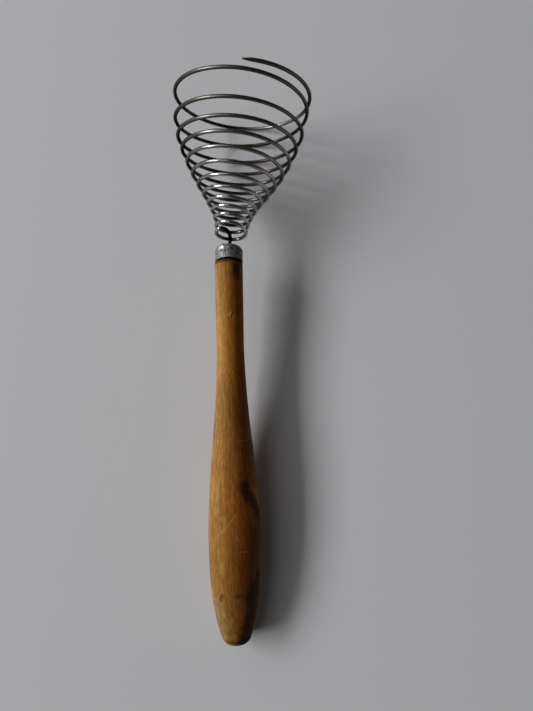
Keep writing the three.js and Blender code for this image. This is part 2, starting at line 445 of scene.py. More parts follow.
def coil_turns():
    """Centre line of the turns from the free end to the neck, in the coil's own axes."""
    steps = round(TURNS * TURN_STEPS)
    share = TURNS / steps
    points = []
    height = neck_height
    for i in range(steps, -1, -1):
        turn = i * share
        angle = math.radians(FREE_END_ANGLE) - 2.0 * math.pi * turn
        side = turn_radius(turn) * math.cos(angle)
        up = turn_radius(turn) * math.sin(angle)
        tip_side = math.tan(math.radians(graded(turn, TIPS_SIDE, TIP_FADES)))
        tip_up = math.tan(math.radians(graded(turn, TIPS_UP, TIP_FADES)))
        points.append(Vector((side, height + side * tip_side + up * tip_up, up)))
        height += turn_pitch(turn - share / 2.0) * share
    return points[::-1]


def wire_route():
    """The whole wire: its straight free end, the leaning turns, the crook, the stem and the tang."""
    turns = [lean @ point for point in coil_turns()]
    away = (turns[0] - turns[1]).normalized()
    free_end = [turns[0] + away * length for length in run(FREE_END, 0.0, step=0.4)[:-1]]
    heading = (turns[-1] - turns[-2]).normalized() * CROOK_SWING
    crook = interpolate_bezier(
        turns[-1],
        turns[-1] + heading,
        Vector((CROOK_SIDE, stem_top + CROOK_DROP, 0.0)),
        Vector((0.0, stem_top, 0.0)),
        CROOK_STEPS,
    )
    tang = [Vector((0.0, height, 0.0)) for height in run(stem_top, -TANG_LENGTH, step=1.0)]
    return free_end + turns + crook[1:] + tang[1:]


def wire_section(finish):
    """Nodes that give a route a round section of wire, however far the coil is pressed."""
    tree = bpy.data.node_groups.new("round_wire", "GeometryNodeTree")
    tree.interface.new_socket("Geometry", in_out="INPUT", socket_type="NodeSocketGeometry")
    tree.interface.new_socket("Geometry", in_out="OUTPUT", socket_type="NodeSocketGeometry")
    start = tree.nodes.new("NodeGroupInput")
    end = tree.nodes.new("NodeGroupOutput")
    route = tree.nodes.new("GeometryNodeMeshToCurve")
    ring = tree.nodes.new("GeometryNodeCurvePrimitiveCircle")
    ring.inputs["Resolution"].default_value = WIRE_SIDES
    ring.inputs["Radius"].default_value = WIRE_DIAMETER / 2.0 * MM
    thickness = tree.nodes.new("GeometryNodeInputNamedAttribute")
    thickness.inputs["Name"].default_value = "thickness"
    sweep = tree.nodes.new("GeometryNodeCurveToMesh")
    sweep.inputs["Fill Caps"].default_value = True
    worn = tree.nodes.new("GeometryNodeSetMaterial")
    worn.inputs["Material"].default_value = finish
    tree.links.new(start.outputs["Geometry"], route.inputs["Mesh"])
    tree.links.new(route.outputs["Curve"], sweep.inputs["Curve"])
    tree.links.new(ring.outputs["Curve"], sweep.inputs["Profile Curve"])
    tree.links.new(thickness.outputs["Attribute"], sweep.inputs["Scale"])
    tree.links.new(sweep.outputs["Mesh"], worn.inputs["Geometry"])
    tree.links.new(worn.outputs["Geometry"], end.inputs["Geometry"])
    return tree


def give_points(piece, name, values):
    """Stores a number for every point of a piece, under a name that nodes can read."""
    attribute = piece.data.attributes.new(name, "FLOAT", "POINT")
    attribute.data.foreach_set("value", values)


def wind_wire(finish):
    """The coil as its centre line, which a modifier rounds out to the wire's thickness."""
    bm = bmesh.new()
    points = [bm.verts.new(place) for place in wire_route()]
    for pair in zip(points, points[1:]):
        bm.edges.new(pair)
    piece = finish_piece("wound_wire", bm, finish)
    places = [vert.co.copy() for vert in piece.data.vertices]
    steps = [(b - a).length / MM for a, b in zip(places, places[1:])]
    lengths = list(accumulate(steps, initial=0.0))
    full = [smoothstep(length, -TIP_TAPER, TIP_TAPER) * 2.0 - 1.0 for length in lengths]
    give_points(piece, "along", lengths)
    give_points(piece, "thickness", [lerp(TIP_THICKNESS, 1.0, share) for share in full])
    section = piece.modifiers.new("round_wire", "NODES")
    section.node_group = wire_section(finish)
    return piece


# Finishes

# The middle of a noise from 0 to 1, and the share of a scratch's half width that is at full strength
NOISE_MIDDLE = 0.5
SCRATCH_CORE = 0.3
# The angles, in radians from the top, over which the painted shade on the right side ends
RIGHT_ENDS = (3.0, 2.2)


def new_finish(name):
    """A material with its shader: returns (material, node tree, shader)."""
    material = bpy.data.materials.new(name)
    material.use_nodes = True
    tree = material.node_tree
    return material, tree, tree.nodes["Principled BSDF"]


def plug(tree, socket, value):
    """Links a node's output to a socket, or sets the socket to a plain value."""
    if isinstance(value, bpy.types.NodeSocket):
        tree.links.new(value, socket)
    else:
        socket.default_value = value


def calc(tree, operation, first, second=0.0):
    node = tree.nodes.new("ShaderNodeMath")
    node.operation = operation
    plug(tree, node.inputs[0], first)
    plug(tree, node.inputs[1], second)
    return node.outputs[0]


def plus(tree, value, extra, amount):
    """A value plus an amount of another one."""
    return calc(tree, "ADD", value, calc(tree, "MULTIPLY", extra, amount))


def most(tree, masks):
    """The strongest of several masks at each point."""
    return reduce(lambda first, second: calc(tree, "MAXIMUM", first, second), masks)


def all_of(tree, *masks):
    """Several masks multiplied, which is strong only where each of them is."""
    return reduce(lambda first, second: calc(tree, "MULTIPLY", first, second), masks)


def vector_calc(tree, operation, first, second=(0.0, 0.0, 0.0), result="Vector"):
    node = tree.nodes.new("ShaderNodeVectorMath")
    node.operation = operation
    plug(tree, node.inputs[0], first)
    plug(tree, node.inputs[1], second)
    return node.outputs[result]


def length_of(tree, vector):
    return vector_calc(tree, "LENGTH", vector, result="Value")


def dot(tree, first, second):
    return vector_calc(tree, "DOT_PRODUCT", first, second, result="Value")


def stretched(tree, vector, amount):
    """A vector times a number."""
    node = tree.nodes.new("ShaderNodeVectorMath")
    node.operation = "SCALE"
    plug(tree, node.inputs[0], vector)
    plug(tree, node.inputs["Scale"], amount)
    return node.outputs["Vector"]


def fade(tree, value, low, high):
    """Rises smoothly from 0 at low to 1 at high, or falls where low is the larger one."""
    node = tree.nodes.new("ShaderNodeMapRange")
    node.interpolation_type = "SMOOTHSTEP"
    flip = low > high
    plug(tree, node.inputs["Value"], value)
    node.inputs["From Min"].default_value = min(low, high)
    node.inputs["From Max"].default_value = max(low, high)
    node.inputs["To Min"].default_value = 1.0 if flip else 0.0
    node.inputs["To Max"].default_value = 0.0 if flip else 1.0
    return node.outputs["Result"]


def mixed(tree, share, first, second, blend="MIX"):
    """A colour between two colours."""
    node = tree.nodes.new("ShaderNodeMix")
    node.data_type = "RGBA"
    node.blend_type = blend
    plug(tree, node.inputs[0], share)
    plug(tree, node.inputs[6], first)
    plug(tree, node.inputs[7], second)
    return node.outputs[2]


def laid_over(tree, under, over, mask, show):
    """A colour with another one laid over it where a mask is, as strongly as it shows."""
    return mixed(tree, calc(tree, "MULTIPLY", mask, show), under, over)


def tinted(tree, colour, tint):
    """A colour multiplied by a tint."""
    return mixed(tree, 1.0, colour, tint, blend="MULTIPLY")


def grain(tree, place, scale, detail=3.0, rough=0.5):
    """Noise of about 1/scale in size on a place, from 0 to 1."""
    node = tree.nodes.new("ShaderNodeTexNoise")
    plug(tree, node.inputs["Vector"], place)
    node.inputs["Scale"].default_value = scale
    node.inputs["Detail"].default_value = detail
    node.inputs["Roughness"].default_value = rough
    return node.outputs["Fac"]


def drawn_out(tree, place, stretch, scale, detail=3.0, rough=0.5):
    """Noise that is drawn out along the handle."""
    return grain(tree, vector_calc(tree, "MULTIPLY", place, (1.0, stretch, 1.0)), scale, detail, rough)


def colour_noise(tree, place, scale):
    """Noise with three separate values, for shifting a place about."""
    node = tree.nodes.new("ShaderNodeTexNoise")
    plug(tree, node.inputs["Vector"], place)
    node.inputs["Scale"].default_value = scale
    return node.outputs["Color"]


def colours(tree, share, *stops):
    """A colour along a row of (place, colour) stops."""
    node = tree.nodes.new("ShaderNodeValToRGB")
    plug(tree, node.inputs["Fac"], share)
    elements = node.color_ramp.elements
    while len(elements) < len(stops):
        elements.new(1.0)
    for element, (where, colour) in zip(elements, stops):
        element.position = where
        element.color = colour
    return node.outputs["Color"]


def along_row(tree, value, row):
    """A colour along a row of (value, colour) pairs, where the values may be of any size."""
    low, high = row[0][0], row[-1][0]
    share = calc(tree, "DIVIDE", calc(tree, "SUBTRACT", value, low), high - low)
    return colours(tree, share, *[((where - low) / (high - low), colour) for where, colour in row])


def relief(tree, height, depth):
    """A bump of a depth in millimetres."""
    node = tree.nodes.new("ShaderNodeBump")
    node.inputs["Distance"].default_value = depth * MM
    plug(tree, node.inputs["Height"], height)
    return node.outputs["Normal"]


def handle_place(tree):
    """A point in the handle's axes, in millimetres."""
    coordinates = tree.nodes.new("ShaderNodeTexCoord")
    node = tree.nodes.new("ShaderNodeMapping")
    back = turning.inverted()
    node.inputs["Scale"].default_value = (1.0 / MM,) * 3
    node.inputs["Rotation"].default_value = back.to_euler()
    node.inputs["Location"].default_value = -(back @ shoulder) / MM
    tree.links.new(coordinates.outputs["Object"], node.inputs["Vector"])
    return node.outputs["Vector"]


def unrolled(tree, place):
    """The handle's surface laid flat: the flat place, the distance from the shoulder, the angle around."""
    parts = tree.nodes.new("ShaderNodeSeparateXYZ")
    tree.links.new(place, parts.inputs[0])
    x, y, z = parts.outputs
    squares = calc(tree, "ADD", calc(tree, "MULTIPLY", x, x), calc(tree, "MULTIPLY", z, z))
    radius = calc(tree, "SQRT", squares)
    angle = calc(tree, "ARCTAN2", x, z)
    distance = calc(tree, "MULTIPLY", y, -1.0)
    flat = tree.nodes.new("ShaderNodeCombineXYZ")
    tree.links.new(calc(tree, "MULTIPLY", angle, radius), flat.inputs[0])
    tree.links.new(distance, flat.inputs[1])
    return flat.outputs[0], distance, angle


def on_flat(distance, around):
    """Where a point of the handle lies on its unrolled surface."""
    return (math.radians(around) * handle_radius(distance), distance, 0.0)


def patch(tree, flat, distance, around, half_length, half_width, edge=0.5):
    """A soft oval mark on the unrolled surface, 1 in its middle and 0 past its edge."""
    off = vector_calc(tree, "SUBTRACT", flat, on_flat(distance, around))
    off = vector_calc(tree, "MULTIPLY", off, (1.0 / half_width, 1.0 / half_length, 0.0))
    return fade(tree, length_of(tree, off), 1.0 + edge, 1.0 - edge)


def scratch(tree, flat, start, end, half_width):
    """A thin line on the unrolled surface between two (distance, around) points."""
    first = Vector(on_flat(*start))
    reach = Vector(on_flat(*end)) - first
    off = vector_calc(tree, "SUBTRACT", flat, first)
    share = dot(tree, off, reach / reach.length_squared)
    share = calc(tree, "MAXIMUM", share, 0.0)
    share = calc(tree, "MINIMUM", share, 1.0)
    gap = vector_calc(tree, "SUBTRACT", off, stretched(tree, reach, share))
    return fade(tree, length_of(tree, gap), half_width, half_width * SCRATCH_CORE)


def right_side(tree, angle, low, high):
    """1 on the right of the whisk, rising between two angles, and 0 again before its underside."""
    return all_of(tree, fade(tree, angle, low, high), fade(tree, angle, *RIGHT_ENDS))


# Marks in the wood's colour: stains, one stroke of painted shade and scratches run between two (distance
# from the shoulder, angle around) points and have a half width; pale patches have a half length and a half
# width
STAINS_AND_BUTT_SHADE = (
    ((89.2, 32.0), (93.0, 38.0), 3.3),
    ((92.5, 48.0), (102.5, 78.0), 2.9),
    ((123.0, 68.0), (128.0, 58.0), 3.6),
    ((127.0, 56.0), (134.0, 52.0), 5.2),
    # Painted shade, not a stain: a broad dark stroke on the right of the butt
    ((134.0, 54.0), (146.0, 40.0), 4.6),
    ((2.4, 37.0), (5.6, 40.0), 2.9),
)
# A long dark streak along the left edge, and a broad patch of painted shade on the right side
LEFT_EDGE_STREAK = ((103.0, -84.0), (126.0, -77.0), 2.0)
RIGHT_SHADE_PATCH = (108.0, 68.0, 9.0, 4.5)
PALE_PATCHES = (
    (118.6, -24.0, 2.4, 0.9),
    (135.8, -31.0, 1.8, 0.7),
    (102.0, -66.0, 6.0, 0.9),
)
SCRATCHES = (
    ((108.8, -44.0), (103.6, -11.0), 0.42),
    ((103.6, -11.0), (99.7, 8.0), 0.38),
    ((106.9, 7.0), (109.0, 13.0), 0.36),
    ((113.0, 16.0), (113.1, 33.0), 0.32),
    ((72.2, 24.0), (72.3, 42.0), 0.32),
)
WOOD_DARK = (0.275, 0.128, 0.032, 1.0)
WOOD_BROWN = (0.415, 0.208, 0.058, 1.0)
WOOD_HONEY = (0.550, 0.292, 0.093, 1.0)
WOOD_PALE = (0.670, 0.393, 0.160, 1.0)
WORN_DARK = (0.290, 0.195, 0.105, 1.0)
WORN_PALE = (0.620, 0.475, 0.340, 1.0)
WOOD_RUBBED = (0.420, 0.240, 0.068, 1.0)
# Dark brown for the stains, the crack and the pricks, for the streak on the left edge, and for painted shade
# on the right
STAIN_AND_SHADE_DARK = (0.026, 0.008, 0.003, 1.0)
# Painted shade: black for the gap under the hem and the rounded end of the butt
PAINTED_SHADE_BLACK = (0.012, 0.005, 0.003, 1.0)
# Red-brown grime under the hem, widened on the right as painted shade
RED_GRIME_AND_SHADE = (0.125, 0.045, 0.012, 1.0)
WOOD_TONES = ((0.40, WOOD_DARK), (0.47, WOOD_BROWN), (0.535, WOOD_HONEY), (0.61, WOOD_PALE))
WORN_TONES = ((0.42, WORN_DARK), (0.58, WORN_PALE))
# How much each kind of grain counts in the wood's tone
FIBRE_SHARE = 0.4
BAND_SHARE = 0.3
CLOUD_SHARE = 0.2
MOTTLE_SHARE = 0.1
# How strongly each mark shows
FLECK_SHOW = 0.55
GLINT_SHOW = 0.35
BARED_SHOW = 0.75
PALE_SHOW = 0.55
SCRATCH_SHOW = 0.42
STAINS_AND_SHADE_SHOW = 0.85
LEFT_EDGE_STREAK_SHOW = 0.55
RIGHT_SHADE_PATCH_SHOW = 0.5
PRICK_SHOW = 0.6
SPLINTER_SHOW = 0.6
RED_GRIME_AND_SHADE_SHOW = 0.9
# How far a ragged edge strays, around the handle and along it
MARK_EDGE_DRIFT = (2.6, 4.0, 0.0)
# The levels of a noise between which a mark fades in
FLECK_LEVELS = (0.59, 0.68)
GLINT_LEVELS = (0.38, 0.30)
SCRATCH_LEVELS = (0.32, 0.46)
LEFT_EDGE_STREAK_LEVELS = (0.38, 0.58)
RING_LEVELS = (0.50, 0.66)
CRACK_LEVELS = (0.42, 0.5)
RIGHT_SHADE_PATCH_EDGE = 0.6
PRICK_EDGE = 0.7
# How light the wood is at some distances from the shoulder, and how far that wanders
LIGHTNESS = (
    (0.0, 0.80),
    (26.0, 0.98),
    (42.0, 0.95),
    (57.0, 0.71),
    (78.0, 0.81),
    (101.0, 0.94),
    (117.0, 0.71),
    (148.0, 0.70),
)
LIGHTNESS_DRIFT = 12.0
# Painted shade on the wood's right side, as a tint by the angle from the top in radians: none on the left,
# brown on the right
PAINTED_RIGHT_SHADE = (
    (-1.0, (1.00, 1.00, 1.00, 1.0)),
    (-0.5, (0.90, 0.83, 0.49, 1.0)),
    (0.08, (0.61, 0.455, 0.155, 1.0)),
    (0.6, (0.49, 0.26, 0.075, 1.0)),
    (1.1, (0.52, 0.30, 0.095, 1.0)),
    (1.6, (0.70, 0.56, 0.34, 1.0)),
    (2.4, (1.00, 1.00, 1.00, 1.0)),
    (3.0, (1.00, 1.00, 1.00, 1.0)),
)
# How much further left that painted shade begins, over two stretches of the handle
PAINTED_RIGHT_SHADE_SHIFTS = (((60.0, 100.0), 0.2), ((116.0, 140.0), 0.15))
# Where the butt is worn bare, where its broken dark ring is, and where a ring of painted shade runs round
# its rounded end, with their edges
WORN_FROM = 123.0
WORN_TO = 141.0
WORN_DRIFT = 4.0
RING_AT = 129.3
RING_DRIFT = 3.0
RING_EDGE = (1.1, 0.2)
BUTT_RING_AT = 146.5
BUTT_RING_EDGE = (1.1, 0.1)
# The ring of painted shade is on the top and the right, where it is wider and stronger by these amounts
BUTT_RING_FROM = (-1.2, -0.3)
BUTT_RING_RIGHT = (-0.2, 0.7)
BUTT_RING_WIDER = 0.6
BUTT_RING_SHOW = 0.6
BUTT_RING_STRONGER = 0.35
# Under the hem, in mm from the shoulder: red-brown grime that is partly painted shade, and black painted
# shade in the gap, each from none to full, and a crack
HEM_DRIFT = 1.2
RED_HEM = (1.9, 1.4)
BLACK_HEM = (0.5, 0.1)
CRACK = ((0.45, -24.0), (0.40, 14.0), 0.32)
WOOD_ROUGHNESS = 0.52
FIBRE_ROUGHNESS = 0.2
WORN_ROUGHNESS = 0.1
WOOD_SHEEN = 0.12
WOOD_RELIEF = 0.06
FLECK_DEPTH = 0.6
SCRATCH_DEPTH = 0.5


def painted_shade_and_lightness(tree, wood, distance, angle, cloud, ragged):
    """Wood with painted shade on its right, and lighter or darker along its length."""
    wander = calc(tree, "SUBTRACT", cloud, NOISE_MIDDLE)
    for stretch, shift in PAINTED_RIGHT_SHADE_SHIFTS:
        wander = plus(tree, wander, fade(tree, distance, *stretch), shift)
    wood = tinted(tree, wood, along_row(tree, calc(tree, "ADD", angle, wander), PAINTED_RIGHT_SHADE))
    place = plus(tree, distance, calc(tree, "SUBTRACT", ragged, NOISE_MIDDLE), LIGHTNESS_DRIFT)
    lights = [(where, (light, light, light, 1.0)) for where, light in LIGHTNESS]
    return tinted(tree, wood, along_row(tree, place, lights))


def pricked(tree, wood, flat, distance, cloud, ragged):
    """Wood with its broken ring, its pricks and its splinter."""
    off_ring = calc(tree, "SUBTRACT", plus(tree, distance, cloud, RING_DRIFT), RING_AT + RING_DRIFT / 2.0)
    off_ring = calc(tree, "ABSOLUTE", off_ring)
    ring = all_of(tree, fade(tree, off_ring, *RING_EDGE), fade(tree, ragged, *RING_LEVELS))
    holes = [patch(tree, flat, *dent[:4], edge=PRICK_EDGE) for dent in PRICKS]
    wood = laid_over(tree, wood, STAIN_AND_SHADE_DARK, most(tree, [ring, *holes]), PRICK_SHOW)
    raised = most(tree, [patch(tree, flat, *lump[:4], edge=PRICK_EDGE) for lump in SPLINTER])
    return laid_over(tree, wood, WOOD_PALE, raised, SPLINTER_SHOW)


def grime_and_painted_shade(tree, wood, flat, distance, angle, ragged):
    """Wood with red-brown grime and a crack under the ferrule's hem, painted shade in the gap under the hem,
    and a ring of painted shade round the butt's rounded end, all reaching further on the right.
    """
    right = right_side(tree, angle, *BUTT_RING_RIGHT)
    # Under the hem, reaching further down on the right as painted shade
    under_hem = calc(tree, "SUBTRACT", plus(tree, distance, ragged, HEM_DRIFT), right)
    wood = laid_over(tree, wood, RED_GRIME_AND_SHADE, fade(tree, under_hem, *RED_HEM), RED_GRIME_AND_SHADE_SHOW)
    crack = all_of(tree, scratch(tree, flat, *CRACK), fade(tree, ragged, *CRACK_LEVELS))
    wood = mixed(tree, crack, wood, STAIN_AND_SHADE_DARK)
    # Painted shade: black in the gap under the hem
    wood = mixed(tree, fade(tree, under_hem, *BLACK_HEM), wood, PAINTED_SHADE_BLACK)
    # A ring of painted shade round the butt's rounded end, wider and stronger on the right
    off_end = calc(tree, "SUBTRACT", calc(tree, "ADD", distance, ragged), BUTT_RING_AT + NOISE_MIDDLE)
    off_end = plus(tree, calc(tree, "ABSOLUTE", off_end), right, -BUTT_RING_WIDER)
    ring = all_of(tree, fade(tree, off_end, *BUTT_RING_EDGE), fade(tree, angle, *BUTT_RING_FROM))
    strength = plus(tree, BUTT_RING_SHOW, right, BUTT_RING_STRONGER)
    return mixed(tree, all_of(tree, ring, strength), wood, PAINTED_SHADE_BLACK)


def wood_finish():
    """Old oiled wood: fine lengthwise grain, flecks, stains, scratches and a greyer worn butt, with painted
    shade on its right, under the hem and round the butt's end.
    """
    material, tree, shader = new_finish("oiled_wood")
    place = handle_place(tree)
    flat, distance, angle = unrolled(tree, place)
    fibre = drawn_out(tree, place, stretch=0.08, scale=3.0, detail=4.0, rough=0.65)
    bands = drawn_out(tree, place, stretch=0.025, scale=1.5)
    mottle = drawn_out(tree, place, stretch=0.3, scale=1.5, detail=2.0)
    spots = drawn_out(tree, place, stretch=0.18, scale=3.6, detail=2.0)
    cloud = grain(tree, place, scale=0.11)
    ragged = grain(tree, place, scale=0.8, detail=4.0)
    tone = plus(tree, calc(tree, "MULTIPLY", fibre, FIBRE_SHARE), bands, BAND_SHARE)
    tone = plus(tree, plus(tree, tone, cloud, CLOUD_SHARE), mottle, MOTTLE_SHARE)
    flecks = fade(tree, spots, *FLECK_LEVELS)
    wood = colours(tree, tone, *WOOD_TONES)
    wood = laid_over(tree, wood, WOOD_DARK, flecks, FLECK_SHOW)
    wood = laid_over(tree, wood, WOOD_PALE, fade(tree, spots, *GLINT_LEVELS), GLINT_SHOW)
    worn = fade(tree, plus(tree, distance, ragged, WORN_DRIFT), WORN_FROM, WORN_TO)
    wood = laid_over(tree, wood, colours(tree, tone, *WORN_TONES), worn, BARED_SHOW)
    # Painted shade on the right side, and lighter or darker along the length
    wood = painted_shade_and_lightness(tree, wood, distance, angle, cloud, ragged)

    shift = vector_calc(tree, "SUBTRACT", colour_noise(tree, place, scale=0.3), (NOISE_MIDDLE,) * 3)
    rough_flat = vector_calc(tree, "ADD", flat, vector_calc(tree, "MULTIPLY", shift, MARK_EDGE_DRIFT))
    pale = most(tree, [patch(tree, rough_flat, *spot) for spot in PALE_PATCHES])
    wood = laid_over(tree, wood, WOOD_RUBBED, pale, PALE_SHOW)
    lines = most(tree, [scratch(tree, flat, *line) for line in SCRATCHES])
    lines = all_of(tree, lines, fade(tree, ragged, *SCRATCH_LEVELS))
    wood = laid_over(tree, wood, WOOD_RUBBED, lines, SCRATCH_SHOW)
    # Stains, and one stroke of painted shade on the right of the butt
    stained_and_shaded = most(tree, [scratch(tree, rough_flat, *smear) for smear in STAINS_AND_BUTT_SHADE])
    wood = laid_over(tree, wood, STAIN_AND_SHADE_DARK, stained_and_shaded, STAINS_AND_SHADE_SHOW)
    # A dark streak along the left edge of the belly, broken up by the grain
    streak = scratch(tree, rough_flat, *LEFT_EDGE_STREAK)
    streak = all_of(tree, streak, fade(tree, bands, *LEFT_EDGE_STREAK_LEVELS))
    wood = laid_over(tree, wood, STAIN_AND_SHADE_DARK, streak, LEFT_EDGE_STREAK_SHOW)
    # Painted shade: a broad dark patch on the right side of the belly
    right_shade_patch = patch(tree, rough_flat, *RIGHT_SHADE_PATCH, edge=RIGHT_SHADE_PATCH_EDGE)
    wood = laid_over(tree, wood, STAIN_AND_SHADE_DARK, right_shade_patch, RIGHT_SHADE_PATCH_SHOW)
    wood = pricked(tree, wood, flat, distance, cloud, ragged)
    # Grime under the hem, with painted shade there and round the butt's end
    wood = grime_and_painted_shade(tree, wood, flat, distance, angle, ragged)
    tree.links.new(wood, shader.inputs["Base Color"])

    rough = plus(tree, plus(tree, WOOD_ROUGHNESS, fibre, FIBRE_ROUGHNESS), worn, WORN_ROUGHNESS)
    tree.links.new(rough, shader.inputs["Roughness"])
    shader.inputs["Specular IOR Level"].default_value = WOOD_SHEEN
    surface = plus(tree, plus(tree, fibre, flecks, -FLECK_DEPTH), lines, -SCRATCH_DEPTH)
    tree.links.new(relief(tree, surface, WOOD_RELIEF), shader.inputs["Normal"])
    return material


TIN_BRIGHT = (0.460, 0.450, 0.420, 1.0)
TIN_GREY = (0.270, 0.262, 0.240, 1.0)
TIN_PAINTED_SHADE = (0.095, 0.092, 0.086, 1.0)
TIN_BLACK = (0.030, 0.028, 0.025, 1.0)
# Colour of the painted highlights on the tin
TIN_PAINTED_HIGHLIGHT = (0.720, 0.710, 0.680, 1.0)
# Painted highlights on the tin, in spots that are also glossier: distance from the shoulder, angle around,
# half length, half width
TIN_HIGHLIGHT_SPOTS = ((-5.5, -24.0, 0.8, 1.2), (-3.3, -25.0, 0.3, 0.3))
TIN_TONES = ((0.36, TIN_BLACK), (0.48, TIN_GREY), (0.64, TIN_BRIGHT))
TIN_CLOUD_SHARE = 0.5
TIN_SPECK_SHARE = 0.5
TIN_SPECK_LEVELS = (0.44, 0.36)
# Painted shade along the ferrule's lower edge, in mm from the shoulder, and how far it wanders
TIN_HEM = (-0.7, 0.1)
TIN_HEM_DRIFT = 0.8
PIT_STRENGTH = 0.8
# Painted shade on the ferrule's right side: the angles where it rises, and how strongly it shows
TIN_SHADE_SIDE = (-0.1, 0.6)
TIN_SHADE_SHOW = 0.55
PIT_SHOW = 0.75
HEM_SHOW = 0.8
TIN_METAL = 0.65
TIN_ROUGHNESS = 0.12
TIN_GLOSS = 0.3
TIN_RELIEF = 0.16
PIT_DEPTH = 0.3


def tin_finish():
    """Dull tin, dented, pitted and dark in its pits, with painted shade on its right side and along its
    lower edge, and painted highlights in two bright spots on its upper left.
    """
    material, tree, shader = new_finish("dull_tin")
    place = handle_place(tree)
    flat, distance, angle = unrolled(tree, place)
    cloud = grain(tree, place, scale=0.6, detail=4.0, rough=0.6)
    speck = grain(tree, place, scale=2.2, detail=3.0, rough=0.6)
    tone = plus(tree, calc(tree, "MULTIPLY", cloud, TIN_CLOUD_SHARE), speck, TIN_SPECK_SHARE)
    tin = colours(tree, tone, *TIN_TONES)
    # Painted shade on the right side
    tin = laid_over(tree, tin, TIN_PAINTED_SHADE, right_side(tree, angle, *TIN_SHADE_SIDE), TIN_SHADE_SHOW)
    # Painted highlights, glossier as well, where the lamp's highlight falls on the upper left
    highlight_spots = most(tree, [patch(tree, flat, *spot) for spot in TIN_HIGHLIGHT_SPOTS])
    tin = mixed(tree, highlight_spots, tin, TIN_PAINTED_HIGHLIGHT)
    hollows = [
        patch(tree, flat, -height, around, size, size)
        for height, around, size, depth in PITS
        if depth > 0.0
    ]
    pits = calc(tree, "MULTIPLY", most(tree, hollows), PIT_STRENGTH)
    pits = most(tree, [pits, fade(tree, speck, *TIN_SPECK_LEVELS)])
    tin = laid_over(tree, tin, TIN_BLACK, pits, PIT_SHOW)
    # Painted shade along the ferrule's lower edge, where it meets the wood
    hem_shade = fade(tree, plus(tree, distance, cloud, TIN_HEM_DRIFT), *TIN_HEM)
    tin = laid_over(tree, tin, TIN_BLACK, hem_shade, HEM_SHOW)
    tree.links.new(tin, shader.inputs["Base Color"])
    shader.inputs["Metallic"].default_value = TIN_METAL
    rough = calc(tree, "ADD", TIN_ROUGHNESS, fade(tree, tone, 1.0, 0.0))
    tree.links.new(plus(tree, rough, highlight_spots, -TIN_GLOSS), shader.inputs["Roughness"])
    surface = plus(tree, tone, pits, -PIT_DEPTH)
    tree.links.new(relief(tree, surface, TIN_RELIEF), shader.inputs["Normal"])
    return material


WIRE_BLACK = (0.050, 0.046, 0.039, 1.0)
WIRE_RUBBED = (0.140, 0.136, 0.125, 1.0)
WIRE_BRIGHT = (0.560, 0.552, 0.525, 1.0)
WIRE_BROWN = (0.165, 0.115, 0.048, 1.0)
WIRE_SOOT = (0.012, 0.011, 0.009, 1.0)
WIRE_CUT = (0.300, 0.290, 0.260, 1.0)
WIRE_EDGE = (0.25, 0.25, 0.25, 1.0)
# Heights above the shoulder between which the tin turns bright, and how far they wander
BRIGHT_FROM = 54.0
BRIGHT_TO = 14.0
BRIGHT_DRIFT = 40.0
# Lengths from the free end: the bare cut, a scoured stretch of the rim, and the black crook
CUT_END = (1.6, 0.2)
SCOURED_FROM = (46.0, 62.0)
SCOURED_TO = (96.0, 80.0)
CROOK_FROM = 1346.0
CROOK_FADE = 2.5
# How far round a side of the wire is rubbed, bare or tarnished: 1 faces out of the coil, -1 faces in
RUBBED_SIDE = (-0.3, 0.7)
BARE_SIDE = (-0.5, 0.4)
BARE_LEAST = 0.2
TARNISH_SIDE = (1.4, -0.4)
TARNISH_LEVELS = (0.48, 0.62)
TARNISH_SPECKS = (0.3, 0.6)
TARNISH_SHOW = 0.75
SCOURED_SHOW = 0.45
WIRE_ROUGHNESS = 0.32
BRIGHT_GLOSS = 0.22
FILM_ROUGHNESS = 0.06
WIRE_RELIEF = 0.012


def coil_outside(tree):
    """1 on the side of the wire that faces out of the coil, and -1 on the side that faces its axis."""
    coordinates = tree.nodes.new("ShaderNodeTexCoord")
    off = vector_calc(tree, "SUBTRACT", coordinates.outputs["Object"], shoulder)
    off = vector_calc(tree, "SUBTRACT", off, stretched(tree, coil_axis, dot(tree, off, coil_axis)))
    outwards = dot(tree, off, coordinates.outputs["Normal"])
    return calc(tree, "DIVIDE", outwards, length_of(tree, off))


